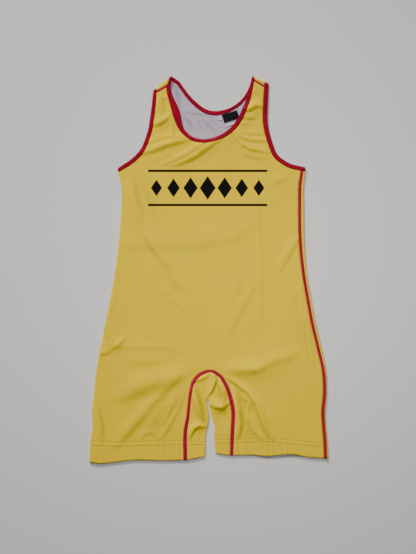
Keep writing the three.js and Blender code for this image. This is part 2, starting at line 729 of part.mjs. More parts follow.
const slit = slitFold();
const inseam = inseamLine();
const inseamOuter = endedAtHems(offsetLine(inseam.line, inseam.reach));
const inseamInner = endedAtHems(offsetLine(inseam.line, inseam.reach.map((r) => -r)));

// Hem lines from one x to another
function hemLine(from, to, hemAt) {
  const count = Math.max(1, Math.round(Math.abs(to.x - from.x) / HEM_STEP));
  return Array.from({ length: count + 1 }, (_, i) => {
    const x = THREE.MathUtils.lerp(from.x, to.x, i / count);
    const y = i === 0 ? from.y : i === count ? to.y : hemAt(x);
    return new THREE.Vector3(x, y, 0);
  });
}

// Shoulders: lines across a strap, square to its fold at a distance, between the two cut edges

const STRAP_COLUMNS = 5;

// The rest of a cut edge, which starts at a fold, from where it is at a distance below the fold.
function belowFold(line, fold, distance) {
  if (distance === 0) return line;
  const depth = (p) => line[0].clone().sub(p).dot(fold.bulge);
  const next = line.findIndex((p) => depth(p) > distance);
  const [a, b] = [line[next - 1], line[next]];
  const start = a.clone().lerp(b, (distance - depth(a)) / (depth(b) - depth(a)));
  const rest = line.slice(start.distanceTo(b) < 3 ? next + 1 : next);
  return [start, ...rest];
}

// What is left of the two cut edges of a strap below its seam, and the lines across it.
function shoulderLines(neckSide, armSide, fold, insets) {
  const half = SHOULDER_SEAM_WIDTH / 2 + SEAM_GAP;
  const at = (neckDepth, armDepth) => {
    const neck = belowFold(neckSide, fold, neckDepth);
    const arm = belowFold(armSide, fold, armDepth);
    const across = (_, i) => neck[0].clone().lerp(arm[0], i / STRAP_COLUMNS);
    const line = Array.from({ length: STRAP_COLUMNS + 1 }, across);
    return { neck, arm, line };
  };
  const front = at(insets.neck + half, insets.arm + half);
  const flap = at(insets.neck - half, insets.arm - half);
  return { fold: at(0, 0).line, flap: flap.line, front: front.line, neckCut: front.neck, armCut: front.arm };
}

const { left: leftInsets, right: rightInsets } = SHOULDER_INSETS;
const left = shoulderLines(frontNeck.panel, [...frontArmLeft.panel].reverse(), leftShoulder, leftInsets);
const right = shoulderLines([...frontNeck.panel].reverse(), frontArmRightToSeam, rightShoulder, rightInsets);

// The front neckline's cut edge between the two shoulder seams.
const neckMiddle = Math.floor(frontNeck.panel.length / 2);
const frontNeckCut = [
  ...left.neckCut.slice(0, left.neckCut.indexOf(frontNeck.panel[neckMiddle])),
  ...[...right.neckCut.slice(0, right.neckCut.indexOf(frontNeck.panel[neckMiddle]) + 1)].reverse(),
];

// Front panel: its whole upper layer, and the strip that rolls under the left edge.
function frontPanel() {
  const cloth = new Cloth();
  const outline = joined(
    [...leftFold].reverse(),
    [...left.armCut].reverse(),
    [...left.front].reverse(),
    frontNeckCut,
    right.front,
    right.armCut,
    rightFrontEdge,
    hemLine(lastOf(rightFrontEdge), lastOf(inseamOuter), HEMS.right.front),
    [...inseamOuter].reverse(),
    hemLine(inseamOuter[0], lastOf(leftFold), HEMS.left.front),
  );
  cloth.layer(outline.slice(0, -1), fineSpacing, (p) => cloth.upper(p));
  cloth.roll(leftFold, sidesOf(leftFold, -1));
  cloth.strip([leftFold.map((p) => cloth.lower(p)), leftFlapEdge.map((p) => cloth.lower(p))]);
  return cloth.geometry();
}

// Back panel: its lower layer, and what rolls over the shoulders, the right edge and the inner legs.
function backPanel() {
  const cloth = new Cloth();
  const outline = joined(
    [...leftBackEdge].reverse(),
    [...backArmLeftToSeam].reverse(),
    [...left.fold].reverse(),
    [...backNeck.panel].reverse(),
    right.fold,
    [...backArmRight.panel].reverse(),
    rightFold,
    hemLine(lastOf(rightFold), lastOf(slit), HEMS.right.back),
    [...slit].reverse(),
    hemLine(slit[0], lastOf(leftBackEdge), HEMS.left.back),
  );
  cloth.layer(outline.slice(0, -1), () => COARSE, (p) => cloth.lower(p));
  cloth.roll(rightFold, sidesOf(rightFold, 1));
  cloth.strip([rightFold.map((p) => cloth.upper(p)), rightFlapEdge.map((p) => cloth.upper(p))]);
  for (const [lines, fold] of [[left, leftShoulder], [right, rightShoulder]]) {
    cloth.roll(lines.fold, lines.fold.map(() => fold.bulge));
    cloth.strip([lines.fold.map((p) => cloth.upper(p)), lines.flap.map((p) => cloth.upper(p))]);
  }
  cloth.roll(slit, sidesOf(slit, -1));
  const rows = 5;
  cloth.strip(Array.from({ length: rows + 1 }, (_, j) => {
    return slit.map((p, i) => cloth.upper(p.clone().lerp(inseamInner[i], j / rows)));
  }));
  return cloth.geometry();
}

// Binding of one opening: along its edge on the front, over a fold, along the back and over the other fold.
function binding(front, back, folds) {
  const [over, under] = folds.map(({ bulge, out }, i) => {
    const at = i === 0 ? front.line.length - 1 : 0;
    return rollFrames(front.line[at], bulge, out, front.widths[at]);
  });
  const frames = [...layerFrames(front, true), ...over, ...layerFrames(back, false), ...under.reverse()];
  return sweep(frames, bindingProfile, BINDING, true);
}

// A line shortened at both ends.
function shortened(line, by) {
  const start = line[0].clone().lerp(line[1], by / line[0].distanceTo(line[1]));
  const before = line[line.length - 2];
  const end = lastOf(line).clone().lerp(before, by / lastOf(line).distanceTo(before));
  return [start, ...line.slice(1, -1), end];
}

// Flatlock seam: a band that fills the joint between two panel edges, point by point.
function seamBand(edge, otherEdge, isUpper) {
  const along = tangentsOf(edge);
  const frames = edge.map((p, i) => {
    const across = otherEdge[i].clone().sub(p);
    const length = across.length();
    const out = across.divideScalar(length);
    const square = new THREE.Vector3().crossVectors(along[i], out).length();
    const { point, normal } = onLayer(p.clone().lerp(otherEdge[i], 0.5), isUpper);
    out.addScaledVector(normal, -out.dot(normal)).normalize();
    return { point, normal, out, width: length - (2 * SEAM_GAP) / square, inside: !isUpper };
  });
  return sweep(frames, seamProfile, SEAM, false);
}

// It stops just short of the bindings at both ends.
function shoulderSeam(lines) {
  return seamBand(shortened(lines.flap, 0.6), shortened(lines.front, 0.6), true);
}

// Label: a flat tab that lies on the inside of the back, just below the neck binding.
function tab(size) {
  const geometry = new THREE.BoxGeometry(size.width, size.height, size.thick);
  const mesh = named("", geometry, null);
  mesh.position.set(size.x, size.y, size.floor + size.thick / 2);
  mesh.rotation.z = THREE.MathUtils.degToRad(size.turn);
  return mesh;
}

function named(name, geometry, material) {
  const mesh = new THREE.Mesh(geometry, material);
  mesh.name = name;
  return mesh;
}

const yellowKnit = new THREE.MeshStandardMaterial({ color: 0xe2c03c, roughness: 0.6, metalness: 0 });
const redBinding = new THREE.MeshStandardMaterial({ color: 0xb00830, roughness: 0.65, metalness: 0 });
const redThread = new THREE.MeshStandardMaterial({ color: 0xb3123a, roughness: 0.7, metalness: 0 });
const blackLabel = new THREE.MeshStandardMaterial({ color: 0x141318, roughness: 0.7, metalness: 0 });
const paleLabel = new THREE.MeshStandardMaterial({ color: 0xcfc9cc, roughness: 0.6, metalness: 0 });

const singlet = new THREE.Group();
singlet.add(named("front_panel", frontPanel(), yellowKnit));
singlet.add(named("back_panel", backPanel(), yellowKnit));
singlet.add(named("neck_binding", binding(frontNeck, backNeck, [
  { bulge: rightShoulder.bulge, out: rightShoulder.toNeck },
  { bulge: leftShoulder.bulge, out: leftShoulder.toNeck },
]), redBinding));
singlet.add(named("armhole_binding_left", binding(frontArmLeft, backArmLeft, [
  { bulge: leftShoulder.bulge, out: leftShoulder.toArm },
  underarm.left,
]), redBinding));
singlet.add(named("armhole_binding_right", binding(frontArmRight, backArmRight, [
  underarm.right,
  { bulge: rightShoulder.bulge, out: rightShoulder.toArm },
]), redBinding));
singlet.add(named("side_seam_left", seamBand(leftFlapEdge, leftBackEdge, false), redThread));
singlet.add(named("side_seam_right", seamBand(rightFlapEdge, rightFrontEdge, true), redThread));
singlet.add(named("inseam", seamBand(inseamInner, inseamOuter, true), redThread));
singlet.add(named("shoulder_seam_left", shoulderSeam(left), redThread));
singlet.add(named("shoulder_seam_right", shoulderSeam(right), redThread));
for (const [name, size, material] of [
  ["neck_label", LABEL, blackLabel],
  ["care_label", CARE_LABEL, paleLabel],
  ["size_tab", SIZE_TAB, paleLabel],
]) {
  const mesh = tab(size);
  mesh.name = name;
  mesh.material = material;
  singlet.add(mesh);
}

// The origin is below the middle of the garment, on the surface that it lies on.
const bounds = new THREE.Box3().setFromObject(singlet, true);
singlet.position.set(-(bounds.min.x + bounds.max.x) / 2, -(bounds.min.y + bounds.max.y) / 2, -bounds.min.z);

export default singlet;
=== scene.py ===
"""A wrestling singlet laid flat on its back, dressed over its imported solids.

Lengths are in metres in the part's frame: +Z is up off the floor, +Y runs to the shoulders, and left and
right are as seen from above. Tables of creases are in millimetres.
"""

import logging
import math
from dataclasses import dataclass, field, replace
from enum import Enum
from typing import Any

import bmesh
import bpy
import numpy as np
from mathutils import Matrix, Vector


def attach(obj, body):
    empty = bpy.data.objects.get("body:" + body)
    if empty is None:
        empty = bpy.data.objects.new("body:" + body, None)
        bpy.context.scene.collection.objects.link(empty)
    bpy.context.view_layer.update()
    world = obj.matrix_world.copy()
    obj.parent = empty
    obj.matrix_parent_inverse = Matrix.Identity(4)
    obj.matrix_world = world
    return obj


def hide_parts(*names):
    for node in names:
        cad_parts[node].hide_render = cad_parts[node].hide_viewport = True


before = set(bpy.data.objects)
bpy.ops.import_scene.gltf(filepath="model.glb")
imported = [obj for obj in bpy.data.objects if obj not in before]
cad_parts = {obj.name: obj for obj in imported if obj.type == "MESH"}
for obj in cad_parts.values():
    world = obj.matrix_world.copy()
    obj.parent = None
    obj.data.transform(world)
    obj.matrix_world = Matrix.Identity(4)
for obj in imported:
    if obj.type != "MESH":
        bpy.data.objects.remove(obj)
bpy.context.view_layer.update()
log = logging.getLogger("singlet")

Node, NodeSocket, NodeTree = bpy.types.Node, bpy.types.NodeSocket, bpy.types.NodeTree
Object, BMesh = bpy.types.Object, bmesh.types.BMesh
Array = np.ndarray
Line = tuple[tuple[float, float], ...]

MM = 0.001
PICTURE = (416, 554)  # pixels
MM_PER_PIXEL = 2.2
PICTURE_CENTRE_MM = (-1.7, -15.8)  # the point of the floor in the middle of the picture

PAINTED_SHADE_FIELD = "painted_shade"  # a piece's own field: how much painted shade a place gets in the creases
LAYER_SPLIT_MM = (1.9, 2.15)  # the lower layer ends below the first, the upper one starts above the second
RESTING_MM = 0.05  # whatever is lower rests on the floor
LEGS_PART_MM = 2.0  # X between the legs
MERGE = 0.01 * MM  # points nearer than this are one
WAVE_PERIOD = 2 * math.pi / 20  # Blender's wave texture repeats after this length at a scale of 1
CHUNK = 4000  # places worked on at a time, to save memory

BINDINGS = ("neck_binding", "armhole_binding_left", "armhole_binding_right")
SEAMS = ("side_seam_left", "side_seam_right", "inseam", "shoulder_seam_left", "shoulder_seam_right")


def linear(hex_colour: str) -> tuple[float, float, float, float]:
    """Turns an sRGB hex colour to linear RGBA.

    Args:
        hex_colour: Six hex digits.

    Returns:
        Red, green, blue and an alpha of 1.
    """
    values = [int(hex_colour[i : i + 2], 16) / 255 for i in (0, 2, 4)]
    return tuple(v / 12.92 if v <= 0.04045 else ((v + 0.055) / 1.055) ** 2.4 for v in values) + (1.0,)


def add_node(tree: NodeTree, kind: str, inputs: dict | None = None, **settings: Any) -> Node:
    """Adds one node with its settings and links.

    Args:
        tree: The node tree.
        kind: The node's type name without its "ShaderNode".
        inputs: For each input, by name or place: a value, a socket, or a node whose first output is linked.
        **settings: The node's own attributes.

    Returns:
        The new node.
    """
    node = tree.nodes.new("ShaderNode" + kind)
    for name, value in settings.items():
        setattr(node, name, value)
    for name, value in (inputs or {}).items():
        if isinstance(value, Node):
            value = next(socket for socket in value.outputs if socket.enabled)
        if isinstance(value, NodeSocket):
            tree.links.new(value, node.inputs[name])
        else:
            node.inputs[name].default_value = value
    return node


def place_in_scene(name: str, data: Any) -> Object:
    """Adds an object to the scene.

    Args:
        name: The object's name.
        data: Its mesh, light or camera.

    Returns:
        The new object.
    """
    made = bpy.data.objects.new(name, data)
    bpy.context.scene.collection.objects.link(made)
    return made


@dataclass(frozen=True)
class HemStitching:
    """The look of the two rows of needle stitches that hold a leg's turned-up hem.

    A piece's own field is 0 at the upper row and -1 at the lower one, and the width is a share of that.
    """

    field: str = "hem_rows"
    width: float = 0.16
    stitch: float = 3.4  # millimetres
    between: float = 0.45  # how much of the row's depth is left between two stitches

    def mask(self, tree: NodeTree, place: NodeSocket) -> Node:
        """Where the thread pulls the knit in.

        Args:
            tree: The node tree.
            place: Object coordinates.

        Returns:
            A node that gives 1 in the middle of a row, less between its stitches, and 0 elsewhere.
        """
        above = add_node(tree, "Attribute", attribute_name=self.field).outputs["Fac"]
        away = []
        for row in (0.0, -1.0):
            off = add_node(tree, "Math", {0: above, 1: row}, operation="SUBTRACT")
            away.append(add_node(tree, "Math", {0: off}, operation="ABSOLUTE"))
        nearest = add_node(tree, "Math", dict(enumerate(away)), operation="MINIMUM")
        falling = {0: nearest, 1: self.width, 2: 0.0, 3: 0.0, 4: 1.0}
        row = add_node(tree, "MapRange", falling, interpolation_type="SMOOTHSTEP")
        along = add_node(tree, "SeparateXYZ", {0: place}).outputs["X"]
        turns = 2 * math.pi / (self.stitch * MM)
        wave = add_node(tree, "Math", {0: along, 1: turns}, operation="MULTIPLY")
        wave = add_node(tree, "Math", {0: wave}, operation="SINE")
        dashes = add_node(tree, "MapRange", {0: wave, 1: -1.0, 2: 0.0, 3: self.between, 4: 1.0})
        return add_node(tree, "Math", {0: row, 1: dashes}, operation="MULTIPLY")


@dataclass(frozen=True)
class PrintedBand:
    """A generic black screen print across the chest: a row of lozenges between two bars. Millimetres."""

    centre: tuple[float, float] = (-2.5, 180.0)
    pitch: float = 37.5
    each_side: int = 3
    lozenge_half: tuple[float, float] = (17.5, 26.0)
    shrink: float = 0.1
    bar_off: float = 37.5
    bar_half: tuple[float, float] = (131.0, 2.6)

    def mask(self, tree: NodeTree, place: NodeSocket) -> Node:
        """Where the ink lies.

        Args:
            tree: The node tree.
            place: Object coordinates.

        Returns:
            A node that gives 1 under the ink and 0 elsewhere.
        """
        sums = dict(add_node(tree, "SeparateXYZ", {0: place}).outputs)
        # Each row gives its result's name, the operation and what goes in: a number or an earlier result.
        for name, operation, *values in (
            ("x", "SUBTRACT", "X", self.centre[0] * MM),
            ("y", "SUBTRACT", "Y", self.centre[1] * MM),
            ("aside", "ABSOLUTE", "x"),
            ("height", "ABSOLUTE", "y"),
            ("cells", "DIVIDE", "x", self.pitch * MM),
            ("cell", "ROUND", "cells"),
            ("rank", "ABSOLUTE", "cell"),
            ("offset", "SUBTRACT", "cells", "cell"),
            ("off centre", "ABSOLUTE", "offset"),
            ("across", "MULTIPLY", "off centre", self.pitch / self.lozenge_half[0]),
            ("along", "DIVIDE", "height", self.lozenge_half[1] * MM),
            ("away", "ADD", "across", "along"),
            ("less", "MULTIPLY", "rank", self.shrink),
            ("size", "SUBTRACT", 1.0, "less"),
            ("inside", "LESS_THAN", "away", "size"),
            ("in row", "LESS_THAN", "rank", self.each_side + 0.5),
            ("lozenges", "MULTIPLY", "inside", "in row"),
            ("above bar", "SUBTRACT", "height", self.bar_off * MM),
            ("off bar", "ABSOLUTE", "above bar"),
            ("on bar", "LESS_THAN", "off bar", self.bar_half[1] * MM),
            ("along bar", "LESS_THAN", "aside", self.bar_half[0] * MM),
            ("bars", "MULTIPLY", "on bar", "along bar"),
            ("on top", "GREATER_THAN", "Z", LAYER_SPLIT_MM[1] * MM),
            ("print", "MAXIMUM", "lozenges", "bars"),
            ("ink", "MULTIPLY", "print", "on top"),
        ):
            inputs = {i: sums.get(value, value) for i, value in enumerate(values)}
            sums[name] = add_node(tree, "Math", inputs, operation=operation)
        return sums["ink"]


@dataclass(frozen=True)
class Finish:
    """What every finish here is made of: a cloth's shader over patterns in Object coordinates."""

    name: str
    slot: str
    dark: str
    light: str
    roughness: float = 0.75
    sheen: float = 0.05
    relief: float = 0.12  # millimetres
    patch: float = 45.0  # width of a lighter or darker patch, in millimetres
    painted_shade_share: float = 0.0  # how far the deepest hollow goes towards its painted shade

    def material(self) -> bpy.types.Material:
        """Builds the material from the finish's colours and relief.

        Returns:
            The material.
        """
        material = bpy.data.materials.new(self.name)
        material.use_nodes = True
        tree = material.node_tree
        shader = tree.nodes["Principled BSDF"]
        for name, value in (
            ("Roughness", self.roughness),
            ("Sheen Weight", self.sheen),
            ("Sheen Roughness", 0.4),
            ("Specular IOR Level", 0.12),
            ("IOR", 1.5),
        ):
            shader.inputs[name].default_value = value
        place = add_node(tree, "TexCoord").outputs["Object"]
        colour = linear(self.dark)
        # The tints, then what is laid over them, painted shade in the creases among it
        for share, shade in [(self.mix(tree, place), self.light), *self.overlays_and_painted_shade(tree, place)]:
            laid = {"Factor": share, "A": colour, "B": linear(shade)}
            colour = add_node(tree, "Mix", laid, data_type="RGBA").outputs["Result"]
        tree.links.new(colour, shader.inputs["Base Color"])
        relief = {"Height": self.surface(tree, place), "Distance": self.relief * MM}
        tree.links.new(add_node(tree, "Bump", relief).outputs["Normal"], shader.inputs["Normal"])
        return material

    def mix(self, tree: NodeTree, place: NodeSocket) -> Node:
        """How the dark and the light tint of the cloth are mixed."""
        return self.mottling(tree, place, self.patch)

    def overlays_and_painted_shade(self, tree: NodeTree, place: NodeSocket) -> list[tuple[Any, str]]:
        """What is laid over the tints, in order, painted shade in the creases among it: where it lies, and
        its colour as hex.
        """
        return []

    def painted_shade(self, tree: NodeTree) -> Node:
        """Where shade is painted into the hollows of creases.

        The colour there goes deeper and darker: a painted shade that stands in for light bouncing about
        inside a crease, taking on the cloth's colour twice.

        Args:
            tree: The node tree.

        Returns:
            A node that gives 0 on open cloth, up to the finish's share in the deepest hollow.
        """
        depth = add_node(tree, "Attribute", attribute_name=PAINTED_SHADE_FIELD).outputs["Fac"]
        return add_node(tree, "Math", {0: depth, 1: self.painted_shade_share}, operation="MULTIPLY")

    def surface(self, tree: NodeTree, place: NodeSocket) -> Any:
        """The relief, from 0 to 1.

        Args:
            tree: The node tree.
            place: Object coordinates.

        Returns:
            A node or a socket that gives the height.
        """
        return self.mottling(tree, place, 1.0)

    def mottling(self, tree: NodeTree, place: Any, size: float, stretch: float = 1.0) -> Node:
        """Soft patches.

        Args:
            tree: The node tree.
            place: Object coordinates.
            size: A patch's width in millimetres.
            stretch: How much longer a patch is along Y.

        Returns:
            A node that gives 0 to 1.
        """
        scaled = add_node(tree, "Mapping", {"Vector": place, "Scale": (1, 1 / stretch, 1)})
        fine = {"Vector": scaled, "Scale": 1 / (size * MM), "Detail": 3.0, "Roughness": 0.55}
        return add_node(tree, "TexNoise", fine)

    def ribs(self, tree: NodeTree, place: Any, pitch: float, turn: float) -> NodeSocket:
        """Parallel ribs.

        Args:
            tree: The node tree.
            place: Object coordinates.
            pitch: Rib to rib in millimetres.
            turn: Angle from ribs that run along Y, in radians.

        Returns:
            A socket that gives 0 to 1.
        """
        turned = add_node(tree, "Mapping", {"Vector": place, "Rotation": (0, 0, turn)})
        wave = {"Vector": turned, "Scale": WAVE_PERIOD / (pitch * MM)}
        return add_node(tree, "TexWave", wave, bands_direction="X").outputs["Fac"]


@dataclass(frozen=True)
class DyedKnit(Finish):
    """Polyester and elastane interlock knit, dyed yellow on its face.

    The face is matt with a faint sheen. Its wales run down the body and show as very fine streaks, and the
    dye is a little uneven from patch to patch.
    """

    ink: str = "08070B"
    row_shade: str = "A87E08"
    row_share: float = 0.55
    furrow: float = 4.0  # depth of a hem row, in reliefs
    # Painted shade: the olive that the hollows of creases go towards
    painted_shade_colour: str = "929800"
    painted_shade_share: float = 0.5
    patch: float = 60.0
    streak: tuple[float, float] = (5.0, 14.0)  # width in millimetres, and how many times as long
    fineness: float = 0.45  # share of the streaks in the colour, and of the grain in the relief
    wale: float = 1.1  # a real wale is about 0.7 mm across: drawn half as large again to show close up
    grain: float = 0.9
    hems: HemStitching = HemStitching()
    printed: PrintedBand | None = None

    def mix(self, tree: NodeTree, place: NodeSocket) -> Node:
        """The uneven dye with its streaks."""
        streaks = self.mottling(tree, place, *self.streak)
        patches = self.mottling(tree, place, self.patch)
        return add_node(tree, "Mix", {"Factor": self.fineness, "A": patches, "B": streaks})

    def overlays_and_painted_shade(self, tree: NodeTree, place: NodeSocket) -> list[tuple[Any, str]]:
        """The painted shade in the hollows of creases, the hem rows and the print.

        Args:
            tree: The node tree.
            place: Object coordinates.

        Returns:
            Where each lies, and its shade as hex.
        """
        row = {0: self.hems.mask(tree, place), 1: self.row_share}
        rows = add_node(tree, "Math", row, operation="MULTIPLY")
        laid = [(self.painted_shade(tree), self.painted_shade_colour), (rows, self.row_shade)]
        if self.printed:
            laid.append((self.printed.mask(tree, place), self.ink))
        return laid

    def surface(self, tree: NodeTree, place: NodeSocket) -> Any:
        """Wales, a fine grain and the furrows of the hem rows.

        Args:
            tree: The node tree.
            place: Object coordinates.

        Returns:
            A node that gives the height.
        """
        wales = self.ribs(tree, place, self.wale, 0.0)
        grain = self.mottling(tree, place, self.grain)
        knit = add_node(tree, "Mix", {"Factor": self.fineness, "A": wales, "B": grain})
        row = {0: self.hems.mask(tree, place), 1: self.furrow}
        furrow = add_node(tree, "Math", row, operation="MULTIPLY")
        return add_node(tree, "Math", {0: knit, 1: furrow}, operation="SUBTRACT")


@dataclass(frozen=True)
class UndyedKnit(Finish):
    """The undyed back of the same knit: off-white, with its courses showing as fine lines."""

    # Painted shade: the grey that the lining's creases and the strap's shadow go towards
    painted_shade_colour: str = "4E4858"
    painted_shade_share: float = 1.0
    course: float = 1.3  # drawn half as large again to show close up

    def overlays_and_painted_shade(self, tree: NodeTree, place: NodeSocket) -> list[tuple[Any, str]]:
        """Painted shade: the hollows of creases, and the strap's shadow, go grey."""
        return [(self.painted_shade(tree), self.painted_shade_colour)]

    def surface(self, tree: NodeTree, place: NodeSocket) -> Any:
        """Courses only."""
        return self.ribs(tree, place, self.course, math.pi / 2)


@dataclass(frozen=True)
class FoldedTape(Finish):
    """Red fold-over tape of the same knit, stretched on, so that it is smooth with a fine grain."""


@dataclass(frozen=True)
class SewingThread(Finish):
    """Textured polyester thread: a soft, slightly hairy yarn without shine."""

    roughness: float = 0.8


@dataclass(frozen=True)
class WovenLabel(Finish):
    """Damask label, left blank: a tight weave of fine crossed ribs with a slight shine."""

    rib: float = 0.8  # drawn coarse enough to show close up
    turn: float = math.radians(72)  # the label hangs a little askew

    def surface(self, tree: NodeTree, place: NodeSocket) -> Any:
        """The weave, along and across the label."""
        crossed = [self.ribs(tree, place, self.rib, turn) for turn in (self.turn - math.pi / 2, self.turn)]
        return add_node(tree, "Math", dict(enumerate(crossed)), operation="MULTIPLY")


class Side(Enum):
    """Which side of a crease, going along it, falls steeply."""

    LEFT = 1
    RIGHT = -1


@dataclass(frozen=True)
class Crease:
    """A soft ridge along a line: gentle on one side and steep on the other. Millimetres."""

    END = 0.04  # where on its half wave the taper starts and ends
    NARROWEST = 0.55  # width at the ends, as a share of that in the middle
    FOOT_AT = 1.45  # the trough's middle and half width, in steep widths
    FOOT_WIDTH = 0.75
    FOOT_DEPTH = 0.22  # as a share of the height
    SHADED = 3.0  # a crease of this height has the darkest painted shade in its trough

    line: Line
    height: float
    gentle: float
    steep: float
    side: Side = Side.RIGHT

    def measure(self, x: Array, y: Array) -> tuple[Array, Array]:
        """How far the crease lifts the cloth, and how much painted shade a place in it gets.

        Args:
            x: In millimetres.
            y: In millimetres.

        Returns:
            The lift in millimetres, negative in the trough at the foot of the steep side, and the shade
            painted in that trough, from 0 to 1.
        """
        points = np.array(self.line, dtype=float)
        lengths = np.hypot(*np.diff(points, axis=0).T)
        total, passed = lengths.sum(), 0.0
        nearest = np.full(x.shape, np.inf)
        signed = np.zeros(x.shape)
        along = np.zeros(x.shape)
        for start, end, length in zip(points, points[1:], lengths):
            dx, dy = (end - start) / length
            s = np.clip((x - start[0]) * dx + (y - start[1]) * dy, 0, length)
            ox, oy = x - start[0] - s * dx, y - start[1] - s * dy
            away = np.hypot(ox, oy)
            closer = away < nearest
            side = np.where(dx * oy - dy * ox >= 0, 1.0, -1.0)
            nearest = np.where(closer, away, nearest)
            signed = np.where(closer, away * side, signed)
            along = np.where(closer, (passed + s) / total, along)
            passed += length
        steep = signed * self.side.value > 0
        width = np.where(steep, self.steep, self.gentle)
        taper = np.sin(np.pi * np.clip(self.END + (1 - 2 * self.END) * along, 0, 1)) ** 0.5
        spread = self.NARROWEST + (1 - self.NARROWEST) * taper
        ridge = np.exp(-((nearest / (width * spread)) ** 2))
        foot_at, foot_width = self.FOOT_AT * self.steep * spread, self.FOOT_WIDTH * self.steep * spread
        foot = np.where(steep, np.exp(-(((nearest - foot_at) / foot_width) ** 2)), 0) * taper
        # Shade painted into the trough at the foot of the steep side
        shade = foot * min(1.0, self.height / self.SHADED)
        return self.height * (taper * ridge - self.FOOT_DEPTH * foot), shade


